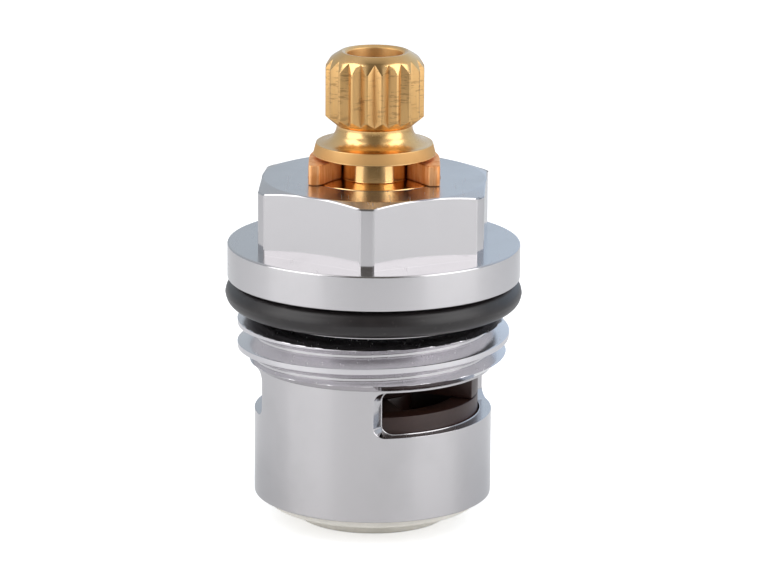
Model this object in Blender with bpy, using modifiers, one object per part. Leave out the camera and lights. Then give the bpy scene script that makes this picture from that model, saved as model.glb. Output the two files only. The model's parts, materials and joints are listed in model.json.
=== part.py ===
# Quarter-turn ceramic-disc headwork of a tap: a splined spindle in a hexagon housing, two discs and a seal.
# Metres, +Z up. The origin is on the spindle's axis, at the lower end of the seal's lip. -Y is the front.
import math

import bmesh
import bpy
from mathutils import Matrix
from mathutils import Vector

mm = 0.001

# Clearances
seat_gap = 0.10 * mm
running_gap = 0.10 * mm
ring_gap = 0.05 * mm
stop_gap_angle = 1.5

# Directions round the axis, in degrees anticlockwise from +X as seen from above
port_direction = -34.0
turn_to_open = 32.0
quarter_turn = 90.0
hexagon_corner_direction = -93.0
clip_mouth_direction = -90.0

# Housing, outside
thread_radius = 10.4 * mm
thread_length = 4.0 * mm
thread_lead_in = 1.03 * mm
thread_end_drop = 0.52 * mm
thread_end_width = 1.12 * mm
sleeve_step = 1.31 * mm
sleeve_length = 10.26 * mm
sleeve_end_chamfer = 0.17 * mm
relief_depth = 1.28 * mm
flange_overhang = 0.76 * mm
flange_thickness = 2.73 * mm
flange_edge = 0.2 * mm
hexagon_across_flats = 17.0 * mm
hexagon_corner_reach = 1.04 * mm
hexagon_height = 5.02 * mm
hexagon_chamfer_width = 1.08 * mm
hexagon_chamfer_angle = 18.0

# Housing, inside and ports
sleeve_wall = 0.89 * mm
bore_edge = 0.15 * mm
port_height = 3.5 * mm
port_depth = 3.97 * mm
port_corner_radius = 0.78 * mm
port_sill_drop = 1.33 * mm
keyway_width = 3.0 * mm
keyway_depth = 0.4 * mm
stop_rib_clearance = 0.25 * mm
stop_rib_angle = 20.0

# Spindle
head_radius = 3.76 * mm
head_length = 3.72 * mm
head_dome_width = 2.78 * mm
head_dome_height = 1.47 * mm
head_flat_radius = 2.6 * mm
head_foot_height = 0.74 * mm
serration_count = 20
serration_depth = 0.45 * mm
serration_land = 0.17 * mm
screw_hole_radius = 2.1 * mm
screw_hole_depth = 7.0 * mm
screw_hole_chamfer = 0.08 * mm
neck_radius = 2.88 * mm
neck_length = 0.1 * mm
collar_radius = 4.66 * mm
collar_top_radius = 4.43 * mm
collar_fillet_height = 1.27 * mm
collar_land = 0.1 * mm
collar_thickness = 0.91 * mm
clip_groove_radius = 2.5 * mm
shank_radius = 4.85 * mm
shank_chamfer = 0.55 * mm
upper_groove_drop = 3.0 * mm
groove_spacing = 3.4 * mm
spindle_ring_section = 1.2 * mm
drive_flange_gap = 0.3 * mm
drive_flange_thickness = 2.2 * mm
dog_width = 2.4 * mm
dog_height = 1.1 * mm
dog_inner_radius = 3.6 * mm
dog_inset = 0.7 * mm

# Clip, washer and flange ring
clip_thickness = 1.45 * mm
clip_play = 0.25 * mm
clip_side_land = 0.10 * mm
clip_back_land = 1.2 * mm
clip_arm_length = 2.6 * mm
clip_end_width = 0.8 * mm
clip_corner_radius = 0.35 * mm
washer_thickness = 0.5 * mm
washer_share = 7 / 13
flange_ring_play = 0.45 * mm
flange_ring_stand_out = 0.16 * mm

# Discs
disc_gap = 0.15 * mm
disc_edge = 0.15 * mm
moving_disc_thickness = 3.1 * mm
disc_hub_radius = 3.2 * mm
notch_corner_radius = 0.5 * mm
fixed_disc_thickness = 3.5 * mm
disc_opening_angle = 70.0
disc_opening_inner_radius = 3.0 * mm

# Lower seal and the ring inside it
seal_lip_drop = 1.87 * mm
seal_rim_drop = 0.75 * mm
seal_height = 6.22 * mm
seal_waist_depth = 0.25 * mm
seal_bead_height = 0.9 * mm
seal_wall = 1.05 * mm
seal_lip_radius = 5.9 * mm
seal_lip_wall = 1.0 * mm
seal_floor_thickness = 1.0 * mm
seal_edge = 0.15 * mm
support_ring_wall = 0.65 * mm

# Radii that follow, from the outside inwards
sleeve_radius = thread_radius - sleeve_step
relief_radius = thread_radius - relief_depth
flange_radius = thread_radius + flange_overhang
flange_ring_section = flange_radius + flange_ring_stand_out - relief_radius - ring_gap
hexagon_corner_radius = hexagon_across_flats / 2 + hexagon_corner_reach
disc_bore_radius = sleeve_radius - sleeve_wall
keyway_radius = disc_bore_radius + keyway_depth
port_floor_distance = sleeve_radius - port_depth
disc_radius = disc_bore_radius - disc_gap
drive_flange_radius = disc_bore_radius - drive_flange_gap
dog_outer_radius = drive_flange_radius - dog_inset
seal_radius = disc_bore_radius - running_gap
seal_wall_inner_radius = seal_radius - seal_wall
seal_mouth_radius = seal_lip_radius - seal_lip_wall
support_ring_radius = seal_wall_inner_radius - running_gap
disc_opening_outer_radius = support_ring_radius - support_ring_wall
spindle_bore_radius = shank_radius + running_gap
washer_radius = spindle_bore_radius + (disc_bore_radius - spindle_bore_radius) * washer_share
stop_rib_radius = washer_radius + stop_rib_clearance
groove_root_radius = spindle_bore_radius - spindle_ring_section - 2 * ring_gap
head_dome_middle = head_radius - head_dome_width
head_dome_cut = math.degrees(math.acos((head_flat_radius - head_dome_middle) / head_dome_width))

# Levels, upwards from the seal's lip
housing_bottom = seal_lip_drop
thread_bottom = housing_bottom + sleeve_length
thread_top = thread_bottom + thread_length
flange_bottom = thread_top + flange_ring_play + flange_ring_section + ring_gap
flange_top = flange_bottom + flange_thickness
hexagon_top = flange_top + hexagon_height
fixed_disc_bottom = seal_height + seat_gap
fixed_disc_top = fixed_disc_bottom + fixed_disc_thickness
moving_disc_bottom = fixed_disc_top + seat_gap
moving_disc_top = moving_disc_bottom + moving_disc_thickness
drive_flange_bottom = moving_disc_top + seat_gap
drive_flange_top = drive_flange_bottom + drive_flange_thickness
washer_bottom = drive_flange_top + seat_gap
washer_top = washer_bottom + washer_thickness
cavity_top = washer_top + seat_gap
port_sill = fixed_disc_top - port_sill_drop
clip_bottom = hexagon_top + seat_gap
clip_top = clip_bottom + clip_thickness
collar_bottom = clip_top + clip_play
collar_top = collar_bottom + collar_thickness
neck_bottom = collar_top + collar_fillet_height
head_foot = neck_bottom + neck_length
head_bottom = head_foot + head_foot_height
head_shoulder = head_bottom + head_length
spindle_top = head_shoulder + head_dome_height * math.sin(math.radians(head_dome_cut))
upper_ring_level = hexagon_top - upper_groove_drop
lower_ring_level = upper_ring_level - groove_spacing

# Directions that follow
notch_direction = port_direction - turn_to_open
wing_direction = notch_direction + quarter_turn
stop_rib_direction = port_direction - quarter_turn / 2
drive_notch_angle = quarter_turn + stop_rib_angle + 2 * stop_gap_angle
lug_direction = port_direction + 90.0

coarse_steps = 48
fine_steps = 72
cut_margin = 1.0 * mm


def clear_scene():
    for thing in list(bpy.data.objects):
        bpy.data.objects.remove(thing, do_unlink=True)


def make_collection(name, hidden):
    group = bpy.data.collections.new(name)
    bpy.context.scene.collection.children.link(group)
    group.hide_render = hidden
    return group


def principled(name, colour, roughness, metallic):
    material = bpy.data.materials.new(name)
    material.use_nodes = True
    shader = material.node_tree.nodes["Principled BSDF"]
    shader.inputs["Base Color"].default_value = (*colour, 1.0)
    shader.inputs["Roughness"].default_value = roughness
    shader.inputs["Metallic"].default_value = metallic
    material.diffuse_color = (*colour, 1.0)
    return material


def polar(radius, degrees):
    angle = math.radians(degrees)
    return Vector((radius * math.cos(angle), radius * math.sin(angle)))


def arc(centre, radius, start, end, steps):
    turn = (end - start) / steps
    return [Vector(centre) + polar(radius, start + turn * step) for step in range(steps + 1)]


def circle(radius, steps):
    return arc((0, 0), radius, 0, 360 - 360 / steps, steps - 1)


def sector(inner, outer, direction, width, steps):
    start = direction - width / 2
    end = direction + width / 2
    return arc((0, 0), outer, start, end, steps) + arc((0, 0), inner, end, start, steps)


def bar(inner, outer, width, direction):
    along = polar(1, direction)
    across = polar(width / 2, direction + 90)
    return [along * inner - across, along * outer - across, along * outer + across, along * inner + across]


def turned(name, profile, steps, group, closed=True):
    # The profile's (radius, height) points run down its outer side
    count = len(profile)
    edges = [(index, index + 1) for index in range(count - 1)]
    if closed:
        edges.append((count - 1, 0))
    mesh = bpy.data.meshes.new(name)
    mesh.from_pydata([(radius, 0, height) for radius, height in profile], edges, [])
    body = bpy.data.objects.new(name, mesh)
    group.objects.link(body)
    screw = body.modifiers.new("turn", "SCREW")
    screw.axis = "Z"
    screw.angle = math.tau
    screw.steps = steps
    screw.render_steps = steps
    screw.use_merge_vertices = True
    screw.merge_threshold = 0.001 * mm
    screw.use_smooth_shade = True
    return body


def round_upright_edges(mesh, radius):
    # Only the edges along the slab's thickness where two sides meet at a corner
    shape = bmesh.new()
    shape.from_mesh(mesh)
    corners = []
    for edge in shape.edges:
        upright = (edge.verts[0].co - edge.verts[1].co).normalized()
        if abs(upright.z) > 0.99 and edge.calc_face_angle(0) > math.radians(25):
            corners.append(edge)
    bmesh.ops.bevel(shape, geom=corners, offset=radius, segments=4, profile=0.5, affect="EDGES")
    shape.to_mesh(mesh)
    shape.free()


def slab(name, loops, bottom, top, group, corner_radius=0.0):
    # Flat outlines, with any holes, given a thickness from one level to another
    outline = bpy.data.curves.new(name, "CURVE")
    outline.dimensions = "2D"
    outline.fill_mode = "BOTH"
    outline.extrude = (top - bottom) / 2
    for loop in loops:
        spline = outline.splines.new("POLY")
        spline.points.add(len(loop) - 1)
        for point, place in zip(spline.points, loop):
            point.co = (place.x, place.y, 0, 1)
        spline.use_cyclic_u = True
    drawn = bpy.data.objects.new(name + "_outline", outline)
    group.objects.link(drawn)
    seen = bpy.context.evaluated_depsgraph_get()
    mesh = bpy.data.meshes.new_from_object(drawn.evaluated_get(seen))
    bpy.data.objects.remove(drawn, do_unlink=True)
    bpy.data.curves.remove(outline)
    shape = bmesh.new()
    shape.from_mesh(mesh)
    bmesh.ops.remove_doubles(shape, verts=shape.verts, dist=0.001 * mm)
    bmesh.ops.recalc_face_normals(shape, faces=shape.faces)
    shape.to_mesh(mesh)
    shape.free()
    if corner_radius:
        round_upright_edges(mesh, corner_radius)
    mesh.transform(Matrix.Translation((0, 0, (top + bottom) / 2)))
    mesh.name = name
    body = bpy.data.objects.new(name, mesh)
    group.objects.link(body)
    return body


def combine(body, tool, operation):
    tool.hide_render = True
    tool.display_type = "WIRE"
    step = body.modifiers.new(tool.name, "BOOLEAN")
    step.operation = operation
    step.solver = "EXACT"
    step.object = tool


def finish(body, material, sharp_angle=30.0):
    body.data.materials.append(material)
    body.data.shade_smooth()
    body.data.set_sharp_from_angle(angle=math.radians(sharp_angle))


def housing_profile():
    chamfer_drop = hexagon_chamfer_width * math.tan(math.radians(hexagon_chamfer_angle))
    outside = [
        (hexagon_corner_radius - hexagon_chamfer_width, hexagon_top),
        (hexagon_corner_radius, hexagon_top - chamfer_drop),
        (hexagon_corner_radius, flange_top),
        (flange_radius - flange_edge, flange_top),
        (flange_radius, flange_top - flange_edge),
        (flange_radius, flange_bottom + flange_edge),
        (flange_radius - flange_edge, flange_bottom),
        (relief_radius, flange_bottom),
        (relief_radius, thread_top),
        (thread_radius - thread_end_width, thread_top),
        (thread_radius, thread_top - thread_end_drop),
        (thread_radius, thread_bottom + thread_lead_in),
        (sleeve_radius, thread_bottom),
        (sleeve_radius, housing_bottom + sleeve_end_chamfer),
        (sleeve_radius - sleeve_end_chamfer, housing_bottom),
    ]
    inside = [
        (disc_bore_radius + sleeve_end_chamfer, housing_bottom),
        (disc_bore_radius, housing_bottom + sleeve_end_chamfer),
        (disc_bore_radius, cavity_top),
        (spindle_bore_radius, cavity_top),
        (spindle_bore_radius, hexagon_top - bore_edge),
        (spindle_bore_radius + bore_edge, hexagon_top),
    ]
    return outside + inside


def port_section():
    # The cutter seen along its length: the way out is to the right, and both deep corners are round
    reach = flange_radius
    low = port_floor_distance + port_corner_radius
    top = port_height - port_corner_radius
    deep_top = arc((low, top), port_corner_radius, 90, 180, 4)
    deep_foot = arc((low, port_corner_radius), port_corner_radius, 180, 270, 4)
    return [Vector((reach, 0)), Vector((reach, port_height))] + deep_top + deep_foot


def make_housing(parts, cutters):
    housing = turned("housing", housing_profile(), fine_steps, parts)

    around = circle(hexagon_corner_radius + cut_margin, fine_steps)
    corner_distance = hexagon_across_flats / 2 / math.cos(math.radians(30))
    hexagon = [polar(corner_distance, hexagon_corner_direction + 60 * corner) for corner in range(6)]
    flats = slab("hexagon_cutter", [around, hexagon], flange_top, hexagon_top + cut_margin, cutters)
    combine(housing, flats, "DIFFERENCE")

    half_length = flange_radius
    for side, name in ((0, "front_port_cutter"), (180, "rear_port_cutter")):
        port = slab(name, [port_section()], -half_length, half_length, cutters)
        outward = polar(1, port_direction + side).to_3d()
        upward = Vector((0, 0, 1))
        port.matrix_world = Matrix.Translation((0, 0, port_sill)) @ Matrix((
            (outward.x, upward.x, outward.cross(upward).x, 0),
            (outward.y, upward.y, outward.cross(upward).y, 0),
            (outward.z, upward.z, outward.cross(upward).z, 0),
            (0, 0, 0, 1),
        ))
        combine(housing, port, "DIFFERENCE")

    inside = disc_bore_radius - cut_margin
    keyways = [bar(inside, keyway_radius, keyway_width, lug_direction + side) for side in (0, 180)]
    keyway_cutter = slab("keyway_cutter", keyways, housing_bottom - cut_margin, fixed_disc_top, cutters)
    combine(housing, keyway_cutter, "DIFFERENCE")

    rib_root = (disc_bore_radius + relief_radius) / 2
    ribs = []
    for side in (0, 180):
        direction = stop_rib_direction + side
        ribs.append(sector(stop_rib_radius, rib_root, direction, stop_rib_angle, 6))
    rib_tool = slab("stop_ribs", ribs, drive_flange_bottom, cavity_top + cut_margin, cutters)
    combine(housing, rib_tool, "UNION")
    finish(housing, principled("chrome_plate", (0.78, 0.78, 0.79), 0.12, 1.0))
    return housing


def spindle_profile():
    hole_bottom = spindle_top - screw_hole_depth
    hole_tip = hole_bottom - screw_hole_radius * math.tan(math.radians(31))
    hole = [
        (0, hole_tip),
        (screw_hole_radius, hole_bottom),
        (screw_hole_radius, spindle_top - screw_hole_chamfer),
        (screw_hole_radius + screw_hole_chamfer, spindle_top),
    ]
    shoulder = []
    for step in range(6):
        way = polar(1, head_dome_cut * (1 - step / 5))
        radius = head_dome_middle + head_dome_width * way.x
        shoulder.append((radius, head_shoulder + head_dome_height * way.y))
    fillet_width = collar_top_radius - collar_land - neck_radius
    fillet = []
    for degrees in (180, 210, 240, 270):
        way = polar(1, degrees)
        radius = neck_radius + fillet_width * (1 + way.x)
        fillet.append((radius, neck_bottom + collar_fillet_height * way.y))
    head = shoulder + [(head_radius, head_bottom), (neck_radius, head_foot)]
    clip_seat = [
        (collar_top_radius, collar_top),
        (collar_radius, collar_bottom),
        (clip_groove_radius, collar_bottom),
        (clip_groove_radius, hexagon_top),
        (shank_radius - shank_chamfer, hexagon_top),
        (shank_radius, hexagon_top - shank_chamfer),
    ]
    grooves = []
    half = spindle_ring_section / 2 + ring_gap
    for centre in (upper_ring_level, lower_ring_level):
        grooves += [
            (shank_radius, centre + half),
            (groove_root_radius, centre + half),
            (groove_root_radius, centre - half),
            (shank_radius, centre - half),
        ]
    foot = [
        (shank_radius, drive_flange_top),
        (drive_flange_radius, drive_flange_top),
        (drive_flange_radius, drive_flange_bottom),
        (0, drive_flange_bottom),
    ]
    return hole + head + fillet + clip_seat + grooves + foot


def serration_loop():
    # The outline that the V grooves leave between the spline's teeth, a little outside the crests
    pitch = 360 / serration_count
    root = head_radius - serration_depth
    land = math.degrees(serration_land / 2 / head_radius)
    overshoot = 1.1
    loop = []
    for tooth in range(serration_count):
        direction = clip_mouth_direction + pitch * tooth
        valley = polar(root, direction)
        for side in (-1, 0, 1):
            crest_edge = polar(head_radius, direction + side * (pitch / 2 - land))
            if side:
                loop.append(valley + (crest_edge - valley) * overshoot)
            else:
                loop.append(valley)
    return loop


def make_spindle(parts, cutters):
    spindle = turned("spindle", spindle_profile(), fine_steps, parts, closed=False)

    loops = [circle(shank_radius + cut_margin, coarse_steps), serration_loop()]
    lowest = neck_bottom + neck_length / 2
    grooves = slab("serration_cutter", loops, lowest, spindle_top + cut_margin, cutters)
    combine(spindle, grooves, "DIFFERENCE")

    notches = []
    for side in (0, 180):
        direction = notch_direction + side
        outer = disc_bore_radius + cut_margin
        notches.append(sector(washer_radius, outer, direction, drive_notch_angle, 16))
    lowest = drive_flange_bottom - cut_margin
    notch_cutter = slab("drive_notch_cutter", notches, lowest, drive_flange_top + seat_gap, cutters)
    combine(spindle, notch_cutter, "DIFFERENCE")

    dogs = [bar(dog_inner_radius, dog_outer_radius, dog_width, wing_direction + side) for side in (0, 180)]
    sunk = drive_flange_bottom + drive_flange_thickness / 2
    dog_tool = slab("drive_dogs", dogs, drive_flange_bottom - dog_height, sunk, cutters)
    combine(spindle, dog_tool, "UNION")
    finish(spindle, principled("brass", (0.78, 0.55, 0.28), 0.25, 1.0))
    return spindle


def clip_outline():
    # A horseshoe with its mouth towards -Y, drawn anticlockwise from the right arm's end
    half_width = spindle_bore_radius + clip_side_land
    back_reach = spindle_bore_radius + clip_back_land
    inner = clip_groove_radius + running_gap
    corner = clip_corner_radius
    mouth = half_width - clip_end_width
    right_end = arc((half_width - corner, corner - clip_arm_length), corner, -90, 0, 3)
    left_end = arc((corner - half_width, corner - clip_arm_length), corner, 180, 270, 3)
    back = []
    for step in range(21):
        way = polar(1, 180 * step / 20)
        back.append(Vector((half_width * way.x, back_reach * way.y)))
    throat = arc((0, 0), inner, 180, 0, 20)
    left_mouth = [Vector((-mouth, -clip_arm_length))]
    right_mouth = [Vector((mouth, -clip_arm_length))]
    return right_end + back + left_end + left_mouth + throat + right_mouth


def make_clip(parts):
    clip = slab("retaining_clip", [clip_outline()], clip_bottom, clip_top, parts)
    clip.data.transform(Matrix.Rotation(math.radians(clip_mouth_direction + 90), 4, "Z"))
    finish(clip, principled("bronze", (0.72, 0.38, 0.2), 0.3, 1.0))
    return clip


def ring(name, parts, material, centre_radius, level, section, steps, sides):
    around = arc((centre_radius, level), section / 2, 0, -360 + 360 / sides, sides - 1)
    body = turned(name, [(point.x, point.y) for point in around], steps, parts)
    finish(body, material, 60.0)
    return body


def make_rings(parts):
    rubber = principled("black_rubber", (0.03, 0.03, 0.032), 0.5, 0.0)
    half = flange_ring_section / 2
    level = flange_bottom - ring_gap - half
    middle = relief_radius + ring_gap + half
    ring("flange_o_ring", parts, rubber, middle, level, flange_ring_section, fine_steps, 12)
    middle = groove_root_radius + ring_gap + spindle_ring_section / 2
    section = spindle_ring_section
    ring("upper_spindle_o_ring", parts, rubber, middle, upper_ring_level, section, coarse_steps, 8)
    ring("lower_spindle_o_ring", parts, rubber, middle, lower_ring_level, section, coarse_steps, 8)


def make_washer(parts):
    profile = [
        (washer_radius, washer_top),
        (washer_radius, washer_bottom),
        (spindle_bore_radius, washer_bottom),
        (spindle_bore_radius, washer_top),
    ]
    washer = turned("friction_washer", profile, coarse_steps, parts)
    finish(washer, principled("white_plastic", (0.85, 0.85, 0.82), 0.4, 0.0))
    return washer


def make_moving_disc(parts, cutters, ceramic):
    rim = disc_radius - disc_edge
    profile = [
        (0, moving_disc_top),
        (rim, moving_disc_top),
        (disc_radius, moving_disc_top - disc_edge),
        (disc_radius, moving_disc_bottom),
        (0, moving_disc_bottom),
    ]
    disc = turned("moving_disc", profile, fine_steps, parts, closed=False)
    below = moving_disc_bottom - cut_margin
    above = moving_disc_top + cut_margin
    notches = []
    for side in (0, 180):
        direction = notch_direction + side
        notches.append(sector(disc_hub_radius, disc_radius + cut_margin, direction, quarter_turn, 12))
    notch_cutter = slab("disc_notch_cutter", notches, below, above, cutters, notch_corner_radius)
    combine(disc, notch_cutter, "DIFFERENCE")

    slots = []
    for side in (0, 180):
        direction = wing_direction + side
        outer = disc_radius + cut_margin
        slots.append(bar(dog_inner_radius - running_gap, outer, dog_width + 2 * running_gap, direction))
    slot_floor = drive_flange_bottom - dog_height - seat_gap
    slot_cutter = slab("dog_slot_cutter", slots, slot_floor, above, cutters)
    combine(disc, slot_cutter, "DIFFERENCE")
    finish(disc, ceramic)
    return disc


def make_fixed_disc(parts, ceramic):
    lug_radius = keyway_radius - running_gap
    lug_half_angle = math.degrees(math.asin((keyway_width / 2 - running_gap) / lug_radius))
    rim = []
    for side in (0, 180):
        middle = lug_direction + side
        rim += arc((0, 0), lug_radius, middle - lug_half_angle, middle + lug_half_angle, 4)
        rim += arc((0, 0), disc_radius, middle + lug_half_angle, middle + 180 - lug_half_angle, 32)
    openings = []
    for side in (0, 180):
        direction = port_direction + side
        inner = disc_opening_inner_radius
        openings.append(sector(inner, disc_opening_outer_radius, direction, disc_opening_angle, 12))
    disc = slab("fixed_disc", [rim] + openings, fixed_disc_bottom, fixed_disc_top, parts)
    finish(disc, ceramic)
    return disc


def make_seal(parts):
    floor = housing_bottom - seal_rim_drop + seal_floor_thickness
    rim_bottom = housing_bottom - seal_rim_drop
    top_bead = seal_height - seal_bead_height
    low_bead = housing_bottom + seal_bead_height
    waist = seal_radius - seal_waist_depth
    profile = [
        (seal_radius - seal_edge, seal_height),
        (seal_radius, seal_height - seal_edge),
        (seal_radius, top_bead),
        (waist, top_bead - seal_waist_depth),
        (waist, low_bead + seal_waist_depth),
        (seal_radius, low_bead),
        (seal_radius, rim_bottom + seal_edge),
        (seal_radius - seal_edge, rim_bottom),
        (seal_lip_radius + seal_edge, rim_bottom),
        (seal_lip_radius, rim_bottom - seal_edge),
        (seal_lip_radius, seal_edge),
        (seal_lip_radius - seal_edge, 0),
        (seal_mouth_radius, 0),
        (seal_mouth_radius, floor),
        (seal_wall_inner_radius, floor),
        (seal_wall_inner_radius, seal_height),
    ]
    seal = turned("lower_seal", profile, coarse_steps, parts)
    finish(seal, principled("white_rubber", (0.8, 0.78, 0.7), 0.55, 0.0))

    profile = [
        (support_ring_radius, seal_height),
        (support_ring_radius, floor + seat_gap),
        (support_ring_radius - support_ring_wall, floor + seat_gap),
        (support_ring_radius - support_ring_wall, seal_height),
    ]
    support = turned("seal_support_ring", profile, coarse_steps, parts)
    finish(support, principled("grey_plastic", (0.5, 0.5, 0.5), 0.45, 0.0))


def main():
    clear_scene()
    parts = make_collection("faucet_stem", False)
    cutters = make_collection("cutters", True)
    ceramic = principled("brown_ceramic", (0.09, 0.06, 0.055), 0.2, 0.0)
    make_housing(parts, cutters)
    make_spindle(parts, cutters)
    make_clip(parts)
    make_rings(parts)
    make_washer(parts)
    make_moving_disc(parts, cutters, ceramic)
    make_fixed_disc(parts, ceramic)
    make_seal(parts)


main()
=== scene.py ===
# Faucet stem: chrome headwork, brass spline, two ceramic discs. Lengths in the settings are millimetres.
import json
import math

import bmesh
import bpy
from mathutils import Matrix, Vector

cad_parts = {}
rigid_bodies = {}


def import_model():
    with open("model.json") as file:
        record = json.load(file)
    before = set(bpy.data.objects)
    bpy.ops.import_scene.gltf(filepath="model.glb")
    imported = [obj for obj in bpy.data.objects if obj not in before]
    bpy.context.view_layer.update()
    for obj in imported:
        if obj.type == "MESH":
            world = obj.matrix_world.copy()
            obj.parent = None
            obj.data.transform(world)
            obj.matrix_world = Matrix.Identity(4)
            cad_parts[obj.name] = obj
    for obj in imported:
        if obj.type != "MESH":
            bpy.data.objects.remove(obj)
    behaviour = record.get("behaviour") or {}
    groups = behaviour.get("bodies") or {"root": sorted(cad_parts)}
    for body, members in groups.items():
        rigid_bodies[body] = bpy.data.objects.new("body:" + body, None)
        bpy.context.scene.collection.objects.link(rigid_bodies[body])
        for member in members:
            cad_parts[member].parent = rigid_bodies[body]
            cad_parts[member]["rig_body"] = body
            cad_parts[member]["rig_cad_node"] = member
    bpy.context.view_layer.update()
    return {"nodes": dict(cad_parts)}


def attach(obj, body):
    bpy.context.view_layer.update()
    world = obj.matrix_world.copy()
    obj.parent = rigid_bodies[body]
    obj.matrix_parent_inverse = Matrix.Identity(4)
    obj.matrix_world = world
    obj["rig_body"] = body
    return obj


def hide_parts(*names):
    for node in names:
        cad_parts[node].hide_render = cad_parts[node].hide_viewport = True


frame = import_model()
mm = 0.001


def deselectAll():
    for thing in bpy.context.selected_objects:
        thing.select_set(False)


def pickOnly(piece):
    deselectAll()
    piece.select_set(True)
    bpy.context.view_layer.objects.active = piece


def toEdit(selectMode="VERT"):
    bpy.ops.object.mode_set(mode="EDIT")
    bpy.ops.mesh.select_mode(type=selectMode)


def toObject():
    bpy.ops.object.mode_set(mode="OBJECT")


def cleanMesh(piece, distance=0.0005):
    pickOnly(piece)
    toEdit()
    bpy.ops.mesh.select_all(action="SELECT")
    bpy.ops.mesh.remove_doubles(threshold=distance * mm)
    bpy.ops.mesh.normals_make_consistent(inside=False)
    toObject()


def applyModifier(piece, kind, **settings):
    pickOnly(piece)
    modifier = piece.modifiers.new(kind.lower(), kind)
    for key, value in settings.items():
        setattr(modifier, key, value)
    bpy.ops.object.modifier_apply(modifier=modifier.name)


def smooth(piece, degrees):
    pickOnly(piece)
    bpy.ops.object.shade_smooth_by_angle(angle=math.radians(degrees))


def softCorners(corners):
    # every corner is (radius, height, rounding), and a rounded one becomes a short arc
    points = []
    count, arcSteps = len(corners), 4
    for index, (x, z, rounding) in enumerate(corners):
        here = Vector((x, z))
        if not rounding:
            points.append(here)
            continue
        before = (Vector(corners[index - 1][:2]) - here).normalized()
        after = (Vector(corners[(index + 1) % count][:2]) - here).normalized()
        half = before.angle(after) / 2
        reach = rounding / math.tan(half)
        centre = here + (before + after).normalized() * rounding / math.sin(half)
        start = here + before * reach - centre
        sweep = start.angle_signed(here + after * reach - centre)
        for step in range(arcSteps + 1):
            swing = Matrix.Rotation(-sweep * step / arcSteps, 2)
            points.append(centre + swing @ start)
    return points


def drawPath(name, points, closed=True):
    # one vertex, extruded from point to point
    deselectAll()
    bpy.ops.mesh.primitive_circle_add(vertices=3, radius=0.1 * mm, location=points[0] * mm)
    piece = bpy.context.object
    piece.name = name
    bpy.ops.object.transform_apply(location=True, rotation=True, scale=True)
    toEdit()
    bpy.ops.mesh.select_all(action="SELECT")
    bpy.ops.mesh.merge(type="CENTER")
    for before, after in zip(points, points[1:]):
        bpy.ops.mesh.extrude_region_move(TRANSFORM_OT_translate={"value": (after - before) * mm})
    toObject()
    if closed:
        mesh = piece.data
        for part in (*mesh.vertices, *mesh.edges):
            part.select = False
        mesh.vertices[0].select = True
        mesh.vertices[len(mesh.vertices) - 1].select = True
        toEdit()
        bpy.ops.mesh.edge_face_add()
        toObject()
    return piece


def drawLine(name, points, closed=True):
    # the same for (radius, height) points, drawn in the XZ plane
    return drawPath(name, [Vector((point.x, 0, point.y)) for point in points], closed)


def turn(name, corners, steps, closed=True):
    # a lathe: the profile spun once round the axis
    piece = drawLine(name, softCorners(corners), closed)
    toEdit()
    bpy.ops.mesh.select_all(action="SELECT")
    bpy.ops.mesh.spin(steps=steps, angle=math.tau, center=(0, 0, 0), axis=(0, 0, 1))
    toObject()
    cleanMesh(piece)
    return piece


def polar(radius, degrees):
    return Vector((radius * math.cos(math.radians(degrees)), radius * math.sin(math.radians(degrees))))


def cutWith(piece, tool, operation="DIFFERENCE"):
    applyModifier(piece, "BOOLEAN", operation=operation, solver="EXACT", object=tool)
    bpy.data.objects.remove(tool, do_unlink=True)


def evenNormals(piece):
    # the large faces keep their own shading, and the bevels carry the turn
    applyModifier(piece, "WEIGHTED_NORMAL", mode="FACE_AREA", keep_sharp=True, weight=50)


def softEdges(piece, width, degrees=30, segments=2, clamp=True):
    applyModifier(
        piece, "BEVEL", width=width * mm, segments=segments, limit_method="ANGLE",
        angle_limit=math.radians(degrees), harden_normals=False, use_clamp_overlap=clamp,
    )


def joinInto(body, parts):
    deselectAll()
    for part in parts:
        part.select_set(True)
    body.select_set(True)
    bpy.context.view_layer.objects.active = body
    bpy.ops.object.join()


def copyOfNode(name, node):
    source = frame["nodes"][node]
    piece = source.copy()
    piece.data = source.data.copy()
    piece.name = name
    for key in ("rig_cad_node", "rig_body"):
        if key in piece:
            del piece[key]
    piece.parent = None
    bpy.context.scene.collection.objects.link(piece)
    cleanMesh(piece)
    pickOnly(piece)
    toEdit()
    bpy.ops.mesh.select_all(action="SELECT")
    bpy.ops.mesh.dissolve_limited(angle_limit=math.radians(0.2))
    toObject()
    return piece


class Value:
    # wraps a socket, so that sums on it add their Math nodes
    def __init__(self, desk, socket):
        self.desk = desk
        self.socket = socket

    def join(self, operation, first, second):
        return self.desk.node("ShaderNodeMath", {"operation": operation}, {0: first, 1: second})

    def __add__(self, other):
        return self.join("ADD", self, other)

    def __radd__(self, other):
        return self.join("ADD", other, self)

    def __sub__(self, other):
        return self.join("SUBTRACT", self, other)

    def __rsub__(self, other):
        return self.join("SUBTRACT", other, self)

    def __mul__(self, other):
        return self.join("MULTIPLY", self, other)

    def __rmul__(self, other):
        return self.join("MULTIPLY", other, self)

    def __pow__(self, other):
        return self.join("POWER", self, other)


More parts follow.
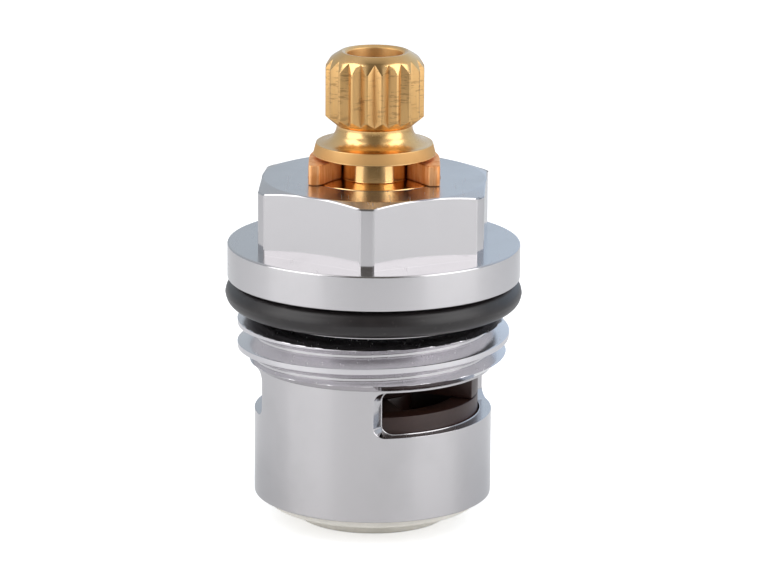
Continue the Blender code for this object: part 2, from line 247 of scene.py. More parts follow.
class Desk:
    # makes the nodes of one material or world
    def __init__(self, owner):
        owner.use_nodes = True
        self.tree = owner.node_tree
        self.tree.nodes.clear()

    def node(self, kind, settings=None, inputs=None, output=0):
        made = self.tree.nodes.new(kind)
        for key, value in (settings or {}).items():
            setattr(made, key, value)
        for key, value in (inputs or {}).items():
            if isinstance(value, Value):
                self.tree.links.new(value.socket, made.inputs[key])
            else:
                made.inputs[key].default_value = value
        return Value(self, made.outputs[output])

    def objectPoint(self):
        return self.node("ShaderNodeTexCoord", output="Object")

    def split(self, vector):
        made = self.tree.nodes.new("ShaderNodeSeparateXYZ")
        self.tree.links.new(vector.socket, made.inputs[0])
        return [Value(self, made.outputs[axis]) for axis in range(3)]

    def combine(self, x, y, z):
        return self.node("ShaderNodeCombineXYZ", inputs={0: x, 1: y, 2: z})

    def noise(self, vector, scale, detail=3.0, roughness=0.55):
        return self.node("ShaderNodeTexNoise", inputs={
            "Vector": vector, "Scale": scale, "Detail": detail, "Roughness": roughness})

    def fade(self, value, low, high, start=0.0, end=1.0):
        return self.node("ShaderNodeMapRange", {"interpolation_type": "SMOOTHSTEP"},
                         {0: value, 1: low, 2: high, 3: start, 4: end})

    def rising(self, value, edge, soft):
        # 0 below a length in millimetres, 1 above it
        return self.fade(value, edge * mm, (edge + soft) * mm)

    def falling(self, value, edge, soft):
        # 1 below a length in millimetres, 0 above it
        return self.fade(value, edge * mm, (edge + soft) * mm, 1.0, 0.0)

    def upward(self):
        # 1 where the surface looks up, 0 on an upright wall
        return self.split(self.node("ShaderNodeNewGeometry", output="Normal"))[2]

    def bump(self, strength, depth, height):
        # depth in millimetres
        return self.node("ShaderNodeBump", inputs={
            "Strength": strength, "Distance": depth * mm, "Height": height})

    def surface(self, tint, roughness, bump, metallic=0.0):
        self.finish(self.node("ShaderNodeBsdfPrincipled", inputs={
            "Base Color": tint, "Metallic": metallic, "Roughness": roughness, "Normal": bump}))

    def blend(self, factor, first, second):
        # colour mix
        return self.node("ShaderNodeMix", {"data_type": "RGBA"}, {0: factor, 6: first, 7: second}, output=2)

    def turningMarks(self, fine, wobble=0.15):
        # rings round Z: noise of radius and height only, a little uneven round the turn
        x, y, z = self.split(self.objectPoint())
        radius = (x * x + y * y) ** 0.5
        patchScale, ringDetail, ringRoughness = 180.0, 3.0, 0.7
        patch = self.noise(self.objectPoint(), patchScale, 2.0)
        rings = self.combine(radius + patch * (wobble * mm), 0.0, z)
        return self.noise(rings, fine, ringDetail, ringRoughness)

    def finish(self, shader):
        self.tree.links.new(shader.socket, self.tree.nodes.new("ShaderNodeOutputMaterial").inputs[0])


def newDesk(name):
    material = bpy.data.materials.new(name)
    return material, Desk(material)


def colour(red, green, blue):
    return (red, green, blue, 1.0)


chrome = {
    "colour": (0.568, 0.554, 0.566), "dull": (0.54, 0.528, 0.538),
    "hazeScale": 260.0, "dullBand": (0.45, 0.75),
    "roughness": 0.10, "roughnessSpread": 0.04, "hazyBand": (0.35, 0.8),
    # painted shade: a darker tint for the hexagon's upright faces
    "flat": (0.488, 0.477, 0.488), "paintedShadeFrom": 21.51, "paintedShadeRadius": 9.5, "paintedShadeSoft": 0.02,
    "uprightBand": (0.1, 0.3),
    # painted highlight: a lighter tint for the thread's outer part
    "cut": (0.66, 0.645, 0.668), "paintedHighlightFrom": 12.13, "paintedHighlightTo": 16.25, "paintedHighlightRadius": 9.2, "paintedHighlightSoft": 0.1,
    # the turned top faces, with their rings from the facing tool
    "facedBand": (0.75, 0.93), "facedRoughness": 0.12,
    "facingMarks": 8200.0, "facingWobble": 0.1, "facingDepth": 8.0,
    "marks": 5200.0, "marksShare": 0.6, "pits": 2600.0, "pitsShare": 0.1,
    "scratches": 5200.0, "scratchTurn": (0.4, 0.9, 0.3), "scratchStretch": (1.0, 0.03, 1.0),
    "scratchBand": (0.70, 0.74), "scratchRoughness": 0.12, "scratchShare": 0.5,
    "bump": 0.35, "markDepth": 0.0010,
}


def makeChrome():
    c = chrome
    material, desk = newDesk("chrome_plate")
    point = desk.objectPoint()
    x, y, z = desk.split(point)
    radius = (x * x + y * y) ** 0.5
    marks = desk.turningMarks(c["marks"])
    facing = desk.upward()
    faced = desk.fade(facing, *c["facedBand"])
    rings = desk.turningMarks(c["facingMarks"], c["facingWobble"])
    haze = desk.noise(point, c["hazeScale"], 4.0, 0.6)
    pits = desk.noise(point, c["pits"], 2.0, 0.5)
    stretched = desk.node("ShaderNodeMapping", inputs={
        "Vector": point, "Rotation": c["scratchTurn"], "Scale": c["scratchStretch"]})
    scratches = desk.fade(desk.noise(stretched, c["scratches"], 1.0, 0.4), *c["scratchBand"])
    # painted shade: the hexagon's milled upright faces get a darker tint that tones down their reflection
    paintedFlatShade = (desk.rising(z, c["paintedShadeFrom"], c["paintedShadeSoft"])
             * desk.falling(radius, c["paintedShadeRadius"], c["paintedShadeSoft"])
             * desk.fade(facing, *c["uprightBand"], 1.0, 0.0))
    # painted highlight: the thread's outer part gets a lighter tint that brightens its reflection
    cut = (desk.rising(z, c["paintedHighlightFrom"], c["paintedHighlightSoft"]) * desk.falling(z, c["paintedHighlightTo"], c["paintedHighlightSoft"])
           * desk.rising(radius, c["paintedHighlightRadius"], c["paintedHighlightSoft"]))
    tint = desk.blend(desk.fade(haze, *c["dullBand"]), colour(*c["colour"]), colour(*c["dull"]))
    tint = desk.blend(paintedFlatShade, tint, colour(*c["flat"]))
    tint = desk.blend(cut, tint, colour(*c["cut"]))
    roughness = (c["roughness"] + desk.fade(haze, *c["hazyBand"]) * c["roughnessSpread"]
                 + scratches * c["scratchRoughness"] + faced * c["facedRoughness"])
    height = (marks * c["marksShare"] + pits * c["pitsShare"] - scratches * c["scratchShare"]
              + faced * rings * c["facingDepth"])
    desk.surface(tint, roughness, desk.bump(c["bump"], c["markDepth"], height), 1.0)
    return material


brass = {
    "colour": (0.80, 0.515, 0.225), "dark": (0.70, 0.42, 0.16),
    "hazeScale": 420.0, "darkBand": (0.4, 0.8),
    "roughness": 0.14, "spread": 0.1, "hazyBand": (0.3, 0.8), "soft": 0.1,
    "milled": (0.64, 0.395, 0.165), "milledRoughness": 0.22,
    "milledFrom": 30.8, "milledTo": 36.0, "milledRadius": 3.05, "uprightBand": (0.12, 0.3),
    "band": (0.66, 0.40, 0.165), "bandRoughness": 0.46, "bandFrom": 28.36, "bandTo": 29.16,
    "filletRoughness": 0.06, "filletFrom": 29.2, "filletTo": 30.6,
    "holeRoughness": 0.3, "holeRadius": 2.2, "holeFloor": 28.0,
    # the cutter's chatter across the teeth, only in patches, and its drag along them
    "chatterColour": (0.36, 0.21, 0.085), "chatter": 6200.0, "chatterStretch": 0.22,
    "chatterBand": (0.50, 0.62), "chatterShare": 0.7, "patches": 700.0, "patchBand": (0.38, 0.56),
    "drag": 4200.0, "dragStretch": 0.03, "dragBand": (0.42, 0.68), "dragShare": 0.6,
    "marks": 6400.0, "grain": 5200.0, "bump": 0.5, "markDepth": 0.0016,
    # heights of the marks, as shares of the depth
    "marksShare": 0.6, "bandShare": 1.6, "grainShare": 0.1, "milledShare": 1.6, "grooveShare": 3.5,
}


def makeBrass():
    b = brass
    material, desk = newDesk("brass")
    point = desk.objectPoint()
    x, y, z = desk.split(point)
    radius = (x * x + y * y) ** 0.5
    soft = b["soft"]
    marks = desk.turningMarks(b["marks"])
    milled = (desk.rising(z, b["milledFrom"], soft) * desk.falling(z, b["milledTo"], soft)
              * desk.fade(desk.upward(), *b["uprightBand"], 1.0, 0.0)
              * desk.rising(radius, b["milledRadius"], soft))
    fillet = desk.rising(z, b["filletFrom"], soft) * desk.falling(z, b["filletTo"], soft)
    band = desk.rising(z, b["bandFrom"], soft) * desk.falling(z, b["bandTo"], soft)
    hole = desk.falling(radius, b["holeRadius"], soft) * desk.rising(z, b["holeFloor"], soft)
    haze = desk.noise(point, b["hazeScale"], 4.0, 0.6)
    grain = desk.noise(point, b["grain"], 3.0, 0.6)
    across = desk.combine(x * b["chatterStretch"], y * b["chatterStretch"], z)
    chatter = desk.fade(desk.noise(across, b["chatter"], 2.0, 0.6), *b["chatterBand"])
    chatter = chatter * desk.fade(desk.noise(point, b["patches"], 1.0), *b["patchBand"]) * milled
    drag = desk.noise(desk.combine(x, y, z * b["dragStretch"]), b["drag"], 3.0, 0.65)
    tint = desk.blend(desk.fade(haze, *b["darkBand"]), colour(*b["colour"]), colour(*b["dark"]))
    tint = desk.blend(milled, tint, colour(*b["milled"]))
    tint = desk.blend(band, tint, colour(*b["band"]))
    tint = desk.blend(desk.fade(drag, *b["dragBand"]) * milled * b["dragShare"], tint, colour(*b["dark"]))
    tint = desk.blend(chatter * b["chatterShare"], tint, colour(*b["chatterColour"]))
    roughness = (b["roughness"] + desk.fade(haze, *b["hazyBand"]) * b["spread"]
                 + milled * b["milledRoughness"] + band * b["bandRoughness"]
                 + hole * b["holeRoughness"] + fillet * b["filletRoughness"])
    height = (marks * (b["marksShare"] + band * b["bandShare"] + hole * b["bandShare"])
              + grain * (b["grainShare"] + milled * b["milledShare"])
              + drag * milled * b["grooveShare"] - chatter * b["grooveShare"])
    desk.surface(tint, roughness, desk.bump(b["bump"], b["markDepth"], height), 1.0)
    return material


bronze = {
    "colour": (1.0, 0.56, 0.27), "dark": (0.84, 0.36, 0.12), "darkBand": (0.44, 0.62),
    "roughness": 0.5, "spread": 0.12, "haze": 520.0, "hazeShare": 0.4,
    "sheared": 3400.0, "shearStretch": 0.08, "shearShare": 0.6, "bump": 0.6, "shearDepth": 0.014,
}


def makeBronze():
    b = bronze
    material, desk = newDesk("bronze")
    point = desk.objectPoint()
    x, y, z = desk.split(point)
    sheared = desk.noise(desk.combine(x, y, z * b["shearStretch"]), b["sheared"], 3.0, 0.65)
    haze = desk.noise(point, b["haze"], 3.0)
    streaks = desk.fade(haze * b["hazeShare"] + sheared * b["shearShare"], *b["darkBand"])
    tint = desk.blend(streaks, colour(*b["colour"]), colour(*b["dark"]))
    bump = desk.bump(b["bump"], b["shearDepth"], sheared)
    desk.surface(tint, b["roughness"] + haze * b["spread"], bump, 1.0)
    return material


rubber = {
    "colour": (0.011, 0.0085, 0.009), "dusty": (0.036, 0.029, 0.030), "roughness": 0.3, "spread": 0.12,
    "cloud": 300.0, "cloudBand": (0.45, 0.8), "cloudShare": 0.5,
    "specks": 2200.0, "speckBand": (0.70, 0.74), "speckShare": 0.4,
    "grain": 7000.0, "bump": 0.4, "grainDepth": 0.004,
}


def makeRubber():
    r = rubber
    material, desk = newDesk("black_rubber")
    point = desk.objectPoint()
    cloud = desk.noise(point, r["cloud"], 4.0, 0.6)
    grain = desk.noise(point, r["grain"], 2.0)
    specks = desk.fade(desk.noise(point, r["specks"], 1.0), *r["speckBand"])
    dust = desk.fade(cloud, *r["cloudBand"]) * r["cloudShare"] + specks * r["speckShare"]
    tint = desk.blend(dust, colour(*r["colour"]), colour(*r["dusty"]))
    bump = desk.bump(r["bump"], r["grainDepth"], grain + cloud * r["cloudShare"])
    desk.surface(tint, r["roughness"] + cloud * r["spread"], bump)
    return material


plain = {
    "cloud": 340.0, "cloudShare": 0.7, "grainShare": 0.3, "darkBand": (0.35, 0.7),
    "bump": 0.4, "spread": 0.1,
    # light colour, dark colour, roughness, scale of the grain and its depth
    "brown_ceramic": ((0.036, 0.014, 0.010), (0.024, 0.009, 0.007), 0.34, 4200.0, 0.002),
    "white_rubber": ((0.93, 0.90, 0.83), (0.86, 0.83, 0.76), 0.45, 3000.0, 0.006),
    "white_plastic": ((0.82, 0.82, 0.79), (0.74, 0.74, 0.71), 0.35, 4200.0, 0.003),
    "grey_plastic": ((0.45, 0.45, 0.45), (0.36, 0.36, 0.36), 0.4, 4200.0, 0.003),
}


def makePlain(name):
    # moulded rubber, plastic or fired ceramic: a mottled colour with a fine grain
    p = plain
    light, dark, roughness, grainScale, grainDepth = p[name]
    material, desk = newDesk(name)
    point = desk.objectPoint()
    cloud = desk.noise(point, p["cloud"], 4.0, 0.6)
    grain = desk.noise(point, grainScale, 3.0)
    mottle = desk.fade(cloud * p["cloudShare"] + grain * p["grainShare"], *p["darkBand"])
    tint = desk.blend(mottle, colour(*light), colour(*dark))
    desk.surface(tint, roughness + cloud * p["spread"], desk.bump(p["bump"], grainDepth, grain))
    return material


finishes = {
    "chrome_plate": makeChrome(), "brass": makeBrass(),
    "bronze": makeBronze(), "black_rubber": makeRubber(),
    "brown_ceramic": makePlain("brown_ceramic"), "white_rubber": makePlain("white_rubber"),
    "white_plastic": makePlain("white_plastic"), "grey_plastic": makePlain("grey_plastic"),
}


def dress(piece, slotName):
    piece.data.materials.clear()
    piece.data.materials.append(finishes[slotName])


print("materials mixed")


housing = {
    "sleeveRadius": 9.09, "bottom": 1.87, "boreRadius": 8.2, "columns": 192, "columnShift": -0.244,
    "threadBottom": 12.13, "threadTop": 16.13, "reliefRadius": 9.12,
    # the wall under the thread's own shell: how much lower it lies, and its steps at the foot and the top
    "rootSunk": 0.05, "footStep": 0.12, "topStep": 0.02,
    "flangeRadius": 11.16, "flangeBottom": 18.78, "flangeTop": 21.51,
    "sleeveRound": 0.12, "reliefRound": 0.12, "flangeFootRound": 0.16, "flangeTopRound": 0.14,
    "shankBoreRound": 0.05, "cavityRound": 0.2, "mouthRound": 0.1,
    "hexTop": 26.53, "hexAcross": 17.0, "hexCornerRadius": 9.54, "hexChamfer": 1.08,
    "hexChamferAngle": 18.0,
    "hexCornerDirection": -93.0, "hexRound": 0.05, "hexEdge": 0.07, "hexEdgeAngle": 8, "hexSmooth": 7,
    "headSunk": 0.2, "prismLevel": 24.0, "prismDepth": 12.0, "sliver": 0.04,
    "cavityTop": 16.02, "spindleBore": 4.95, "boreChamfer": 0.04,
    "portDirection": -34.0, "portSill": 8.49, "portHeight": 3.5, "portFloor": 5.12, "portCorner": 0.78,
    "portReach": 13.0, "portWidth": 26.0, "portOuterEdge": 0.05, "portBead": 0.05, "portSlack": 0.02,
    "keywayWidth": 3.0, "keywayRadius": 8.6, "keywayTop": 9.82, "keywayInside": 0.6, "keywayBelow": 1,
    "ribRadius": 6.95, "ribAngle": 20.0, "ribBottom": 13.12, "ribSunk": 0.3, "sectorSteps": 12,
}
# one tooth wound round, cut to a cone at its foot and at its top
thread = {
    "pitch": 1.814, "crest": 10.4, "root": 9.24, "halfAngle": 27.5, "crestLevelAt180": 13.56,
    "crestShare": 0.62, "crestLift": 0.04, "crestRound": 0.05, "merge": 0.0002,
    "leadInFrom": (9.09, 12.13), "leadInTo": (10.4, 13.16),
    "endFrom": (10.4, 15.61), "endTo": (9.28, 16.13),
    "columns": 192, "rowsPerTurn": 44, "turns": 5,
    "shellStart": 9.386, "shellFoot": 12.05, "shellTop": 16.3, "shellInside": 8.9,
}


def barrel():
    h = housing
    root = thread["root"] - h["rootSunk"]
    corners = [
        (h["sleeveRadius"], h["bottom"], h["sleeveRound"]),
        (h["sleeveRadius"], h["threadBottom"], 0),
        (root, h["threadBottom"] + h["footStep"], 0),
        (root, h["threadTop"] - h["topStep"], 0),
        (h["reliefRadius"], h["threadTop"], 0),
        (h["reliefRadius"], h["flangeBottom"], h["reliefRound"]),
        (h["flangeRadius"], h["flangeBottom"], h["flangeFootRound"]),
        (h["flangeRadius"], h["flangeTop"], h["flangeTopRound"]),
        (h["spindleBore"], h["flangeTop"], 0),
        (h["spindleBore"], h["cavityTop"], h["shankBoreRound"]),
        (h["boreRadius"], h["cavityTop"], h["cavityRound"]),
        (h["boreRadius"], h["bottom"], h["mouthRound"]),
    ]
    return turn("housing_barrel", corners, h["columns"])


def pickEdges(piece, wanted):
    # selects the edges whose two ends pass the test, and leaves the piece in edit mode
    pickOnly(piece)
    toEdit("EDGE")
    bpy.ops.mesh.select_all(action="DESELECT")
    toObject()
    places = [vertex.co / mm for vertex in piece.data.vertices]
    for edge in piece.data.edges:
        edge.select = wanted(places[edge.vertices[0]], places[edge.vertices[1]])
    toEdit("EDGE")


def turnAll(piece, degrees):
    # turns the mesh anticlockwise round Z, as seen from above
    pickOnly(piece)
    toEdit()
    bpy.ops.mesh.select_all(action="SELECT")
    bpy.ops.transform.rotate(value=-math.radians(degrees), orient_axis="Z", center_override=(0, 0, 0))
    toObject()


def roundedPort(side):
    # a block with its deep corners rounded, laid along the port's direction
    h = housing
    low, reach = h["portFloor"], h["portReach"]
    deselectAll()
    bpy.ops.mesh.primitive_cube_add(
        size=1, location=((low + reach) / 2 * mm, 0, (h["portSill"] + h["portHeight"] / 2) * mm),
        scale=((reach - low) * mm, h["portWidth"] * mm, h["portHeight"] * mm))
    tool = bpy.context.object
    bpy.ops.object.transform_apply(location=True, rotation=True, scale=True)
    # the two long edges at the deep end
    pickEdges(tool, lambda a, b: max(a.x, b.x) < low + 0.1 and abs(a.y - b.y) > 1)
    bpy.ops.mesh.bevel(offset=h["portCorner"] * mm, segments=10, affect="EDGES")
    toObject()
    turnAll(tool, h["portDirection"] + side)
    return tool


def softenPorts(body):
    # the ports' outer rims, where the sleeve's wall meets the milled faces
    h = housing
    slack = h["portSlack"]
    low, high = h["portSill"] - slack, h["portSill"] + h["portHeight"] + slack
    along = polar(1, h["portDirection"])

    def onRim(a, b):
        return all(low < end.z < high and abs(end.xy.length - h["sleeveRadius"]) < slack
                   and abs(end.xy.dot(along)) > h["portFloor"] - slack for end in (a, b))

    pickEdges(body, onRim)
    toObject()
    # edges between nearly flat faces are no rims
    shape = bmesh.new()
    shape.from_mesh(body.data)
    flat = [edge.index for edge in shape.edges
            if edge.select and edge.calc_face_angle(0) < math.radians(20)]
    shape.free()
    for index in flat:
        body.data.edges[index].select = False
    toEdit("EDGE")
    bpy.ops.mesh.bevel(offset=h["portOuterEdge"] * mm, segments=2, affect="EDGES", clamp_overlap=False)
    toObject()


def portBead(side):
    # the plating stands in a thin bead on a port's inner rim
    h = housing
    radius, corner, floor = h["boreRadius"], h["portCorner"], h["portFloor"]
    sill, top = h["portSill"], h["portSill"] + h["portHeight"]
    half = math.acos((floor + corner) / radius)
    wallSteps, cornerSteps = 40, 8
    ring = []
    for step in range(wallSteps + 1):
        angle = half * (2 * step / wallSteps - 1)
        ring.append(Vector((radius * math.cos(angle), radius * math.sin(angle), sill)))
    rise = []
    for centre, start in ((sill + corner, -90), (top - corner, 0)):
        for step in range(cornerSteps + 1):
            angle = math.radians(start + 90 * step / cornerSteps)
            rise.append((floor + corner * (1 - math.cos(angle)), centre + corner * math.sin(angle)))
    for inset, level in rise:
        ring.append(Vector((inset, math.sqrt(radius ** 2 - inset ** 2), level)))
    for step in range(1, wallSteps):
        angle = half * (1 - 2 * step / wallSteps)
        ring.append(Vector((radius * math.cos(angle), radius * math.sin(angle), top)))
    for inset, level in reversed(rise):
        ring.append(Vector((inset, -math.sqrt(radius ** 2 - inset ** 2), level)))
    turned = Matrix.Rotation(math.radians(h["portDirection"] + side), 3, "Z")
    bead = drawPath("port_bead", [turned @ point for point in ring])
    cleanMesh(bead, 0.002)
    pickOnly(bead)
    bpy.ops.object.convert(target="CURVE")
    bead.data.bevel_depth = h["portBead"] * mm
    bead.data.bevel_resolution = 2
    bpy.ops.object.convert(target="MESH")
    return bead


def sectorTool(inner, outer, direction, width, bottom, top):
    # a flat ring sector between two heights, spun from an upright rectangle
    corners = [(inner, bottom, 0), (outer, bottom, 0), (outer, top, 0), (inner, top, 0)]
    tool = drawLine("sector_tool", softCorners(corners))
    toEdit()
    bpy.ops.mesh.select_all(action="SELECT")
    bpy.ops.mesh.edge_face_add()
    bpy.ops.mesh.spin(
        steps=housing["sectorSteps"], angle=math.radians(width), center=(0, 0, 0), axis=(0, 0, 1))
    toObject()
    cleanMesh(tool)
    span = sorted(math.degrees(math.atan2(v.co.y, v.co.x)) for v in tool.data.vertices)
    turnAll(tool, direction - (span[0] + span[-1]) / 2)
    return tool


def threadShell():
    t = thread
    pitch, rows = t["pitch"], t["rowsPerTurn"]
    halfLand = (pitch - 2 * (t["crest"] - t["root"]) * math.tan(math.radians(t["halfAngle"]))) / 2
    crestHalf = halfLand * t["crestShare"]
    slope = 1 / math.tan(math.radians(t["halfAngle"]))

    def toothRadius(offset):
        # offset: height above the tooth's middle, in millimetres
        away = abs((offset + pitch / 2) % pitch - pitch / 2)
        top, blend = t["crest"], t["crestRound"]
        radius = top + t["crestLift"] - max(0.0, away - crestHalf) * slope
        if radius >= top - blend:
            radius = top - max(0.0, top + blend - radius) ** 2 / (4 * blend)
        return max(t["root"], radius)

    points = [Vector((t["root"], row * pitch / rows)) for row in range(rows + 1)]
    piece = drawLine("housing_thread", points, closed=False)
    applyModifier(
        piece, "SCREW", angle=math.tau, screw_offset=pitch * mm, iterations=t["turns"], axis="Z",
        steps=t["columns"], render_steps=t["columns"],
        use_merge_vertices=True, merge_threshold=t["merge"] * mm,
    )
    coneIn, coneOut = t["leadInFrom"], t["leadInTo"]
    topIn, topOut = t["endFrom"], t["endTo"]
    for vertex in piece.data.vertices:
        angle = math.atan2(vertex.co.y, vertex.co.x)
        height = vertex.co.z / mm + t["shellStart"]
        middle = t["crestLevelAt180"] + pitch * (math.degrees(angle) - 180) / 360
        radius = toothRadius(height - middle)
        leadIn = coneIn[0] + (height - coneIn[1]) * (coneOut[0] - coneIn[0]) / (coneOut[1] - coneIn[1])
        leadOut = topIn[0] + (height - topIn[1]) * (topOut[0] - topIn[0]) / (topOut[1] - topIn[1])
        radius = max(t["shellInside"], min(radius, leadIn, leadOut))
        vertex.co = Vector((radius * math.cos(angle), radius * math.sin(angle), height)) * mm
    cleanMesh(piece, t["merge"])
    toEdit()
    bpy.ops.mesh.select_all(action="SELECT")
    bpy.ops.mesh.bisect(plane_co=(0, 0, t["shellFoot"] * mm), plane_no=(0, 0, 1), clear_inner=True)
    bpy.ops.mesh.select_all(action="SELECT")
    bpy.ops.mesh.bisect(plane_co=(0, 0, t["shellTop"] * mm), plane_no=(0, 0, 1), clear_outer=True)
    toObject()
    return piece


def hexagonHead():
    h = housing
    drop = h["hexChamfer"] * math.tan(math.radians(h["hexChamferAngle"]))
    corners = [
        (h["hexCornerRadius"], h["flangeTop"] - h["headSunk"], 0),
        (h["hexCornerRadius"], h["hexTop"] - drop, h["hexRound"]),
        (h["hexCornerRadius"] - h["hexChamfer"], h["hexTop"], h["hexRound"]),
        (h["spindleBore"] + h["boreChamfer"], h["hexTop"], 0),
        (h["spindleBore"], h["hexTop"] - h["boreChamfer"], 0),
        (h["spindleBore"], h["flangeTop"] - h["headSunk"], 0),
    ]
    head = turn("housing_hexagon", corners, h["columns"])
    deselectAll()
    bpy.ops.mesh.primitive_cylinder_add(
        vertices=6, radius=h["hexAcross"] / math.sqrt(3) * mm, depth=h["prismDepth"] * mm,
        location=(0, 0, h["prismLevel"] * mm))
    prism = bpy.context.object
    bpy.ops.object.transform_apply(location=True, rotation=True, scale=True)
    turnAll(prism, h["hexCornerDirection"] - 90)
    cutWith(head, prism, "INTERSECT")
    cleanMesh(head, h["sliver"])
    softEdges(head, h["hexEdge"], h["hexEdgeAngle"], 1, clamp=False)
    return head


def makeHousing():
    h = housing
    body = barrel()
    turnAll(body, h["columnShift"])  # keeps the ports' rims clear of the turned wall's edges
    for side in (0, 180):
        cutWith(body, roundedPort(side))
    for side in (0, 180):
        direction = h["portDirection"] + 90 + side
        half = math.degrees(math.asin(h["keywayWidth"] / 2 / h["keywayRadius"]))
        cutWith(body, sectorTool(
            h["boreRadius"] - h["keywayInside"], h["keywayRadius"], direction, 2 * half,
            h["bottom"] - h["keywayBelow"], h["keywayTop"]))
    ribs = [sectorTool(h["ribRadius"], h["boreRadius"] + h["ribSunk"], h["portDirection"] - 45 + side,
                       h["ribAngle"], h["ribBottom"], h["cavityTop"] + h["ribSunk"]) for side in (0, 180)]
    softenPorts(body)
    smooth(body, 30)
    evenNormals(body)
    winding = threadShell()
    smooth(winding, 40)
    head = hexagonHead()
    smooth(head, h["hexSmooth"])
    beads = [portBead(side) for side in (0, 180)]
    for part in ribs + beads:
        smooth(part, 30)
    joinInto(body, [winding, head] + ribs + beads)
    body.name = "housing_body"
    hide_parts("housing")
    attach(body, "housing")
    dress(body, "chrome_plate")


makeHousing()
print("housing turned, ports cut, thread wound")


spindle = {
    "top": 36.265, "holeRadius": 2.1, "holeDepth": 7.0, "holeCone": 1.26, "holeRound": 0.1,
    "lipDrop": 0.17, "lipRadius": 2.52, "lipLift": 0.03, "lipRound": 0.3,
    "shoulderBreak": (3.33, 35.80), "breakRound": 0.8, "shoulderRound": 0.1, "headRadius": 3.76,
    "shoulder": 35.07, "headBottom": 31.35, "headBottomRound": 0.04, "headFoot": 30.61,
    "neckRadius": 2.88, "neckBottom": 30.51,
    "collarTopRadius": 4.43, "collarRadius": 4.66, "collarTop": 29.24, "collarBottom": 28.33,
    "collarEdge": 0.05, "collarFootEdge": 0.06, "collarInset": 0.1, "filletSteps": 12, "columns": 160,
    "grooveRadius": 2.5, "grooveBottom": 26.53, "grooveRound": 0.1,
    "shankRadius": 4.85, "shankChamfer": 0.15, "shankRound": 0.03,
    # below this level the piece is a copy of the CAD node, and the two overlap a little
    "cutLevel": 25.0, "overlap": 0.1, "lowerEdge": 0.05,
    "teeth": 20, "toothDepth": 0.45, "toothLand": 0.17, "valleyDirection": -90.0, "toothEdge": 0.035,
    "cutterLength": 6.2, "cutterBelow": 0.05, "cutterOut": 0.04,
}


def upperSpindle():
    s = spindle
    corners = [
        (0, s["top"] - s["holeDepth"] - s["holeCone"], 0),
        (s["holeRadius"], s["top"] - s["holeDepth"], 0),
        (s["holeRadius"], s["top"] - s["lipDrop"], s["holeRound"]),
        (s["lipRadius"], s["top"] + s["lipLift"], s["lipRound"]),
        (*s["shoulderBreak"], s["breakRound"]),
        (s["headRadius"], s["shoulder"], s["shoulderRound"]),
        (s["headRadius"], s["headBottom"], s["headBottomRound"]),
        (s["neckRadius"], s["headFoot"], 0),
    ]
    # the neck runs into the collar in a quarter of an ellipse
    wide = s["collarTopRadius"] - s["collarInset"] - s["neckRadius"]
    tall = s["neckBottom"] - s["collarTop"]
    for step in range(s["filletSteps"] + 1):
        angle = math.radians(180 + 90 * step / s["filletSteps"])
        radius = s["neckRadius"] + wide * (1 + math.cos(angle))
        corners.append((radius, s["neckBottom"] + tall * math.sin(angle), 0))
    corners += [
        (s["collarTopRadius"], s["collarTop"], s["collarEdge"]),
        (s["collarRadius"], s["collarBottom"], s["collarFootEdge"]),
        (s["grooveRadius"], s["collarBottom"], s["collarEdge"]),
        (s["grooveRadius"], s["grooveBottom"], s["grooveRound"]),
        (s["shankRadius"] - s["shankChamfer"], s["grooveBottom"], s["shankRound"]),
        (s["shankRadius"], s["grooveBottom"] - s["shankChamfer"], s["shankRound"]),
        (s["shankRadius"], s["cutLevel"] - s["overlap"], 0),
        (0, s["cutLevel"] - s["overlap"], 0),
    ]
    return turn("spindle_upper", corners, s["columns"], closed=False)


def toothCutter():
    # one V prism with its edge inwards, copied round the head
    s = spindle
    root = s["headRadius"] - s["toothDepth"]
    halfPitch = math.pi / s["teeth"]
    land = s["toothLand"] / 2 / s["headRadius"]
    crest = Vector((math.cos(halfPitch - land), math.sin(halfPitch - land))) * s["headRadius"]
    spread = crest.y / (crest.x - root)
    size = (s["headRadius"] + s["cutterOut"] - root) / 1.5  # a triangle is 1.5 of its radius deep
    cutters = []
    for tooth in range(s["teeth"]):
        deselectAll()
        bpy.ops.mesh.primitive_cylinder_add(
            vertices=3, radius=size * mm, depth=s["cutterLength"] * mm, location=(0, 0, 0))
        prism = bpy.context.object
        outer = [vertex.co for vertex in prism.data.vertices if vertex.co.y > size * mm / 2]
        apex = min(outer, key=lambda corner: abs(corner.x))
        turnAll(prism, 180 - math.degrees(math.atan2(apex.y, apex.x)))
        level = s["headFoot"] - s["cutterBelow"] + s["cutterLength"] / 2
        # the even triangle, with 30 degrees to each side of its edge, takes the tooth gap's spread
        toEdit()
        bpy.ops.mesh.select_all(action="SELECT")
        bpy.ops.transform.resize(
            value=(1, spread / math.tan(math.radians(30)), 1), center_override=(0, 0, 0))
        bpy.ops.transform.translate(value=((root + size) * mm, 0, level * mm))
        toObject()
        turnAll(prism, s["valleyDirection"] + tooth * 360 / s["teeth"])
        cutters.append(prism)
    joinInto(cutters[0], cutters[1:])
    return cutters[0]


def makeSpindle():
    s = spindle
    lower = copyOfNode("spindle_body", "spindle")
    pickOnly(lower)
    toEdit()
    bpy.ops.mesh.select_all(action="SELECT")
    bpy.ops.mesh.bisect(
        plane_co=(0, 0, s["cutLevel"] * mm), plane_no=(0, 0, 1), clear_outer=True, use_fill=True)
    toObject()
    softEdges(lower, s["lowerEdge"])
    smooth(lower, 30)
    upper = upperSpindle()
    cutWith(upper, toothCutter())
    softEdges(upper, s["toothEdge"], 25)
    smooth(upper, 24)
    joinInto(lower, [upper])
    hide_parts("spindle")
    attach(lower, "spindle")
    dress(lower, "brass")


makeSpindle()
print("spindle turned and splined")


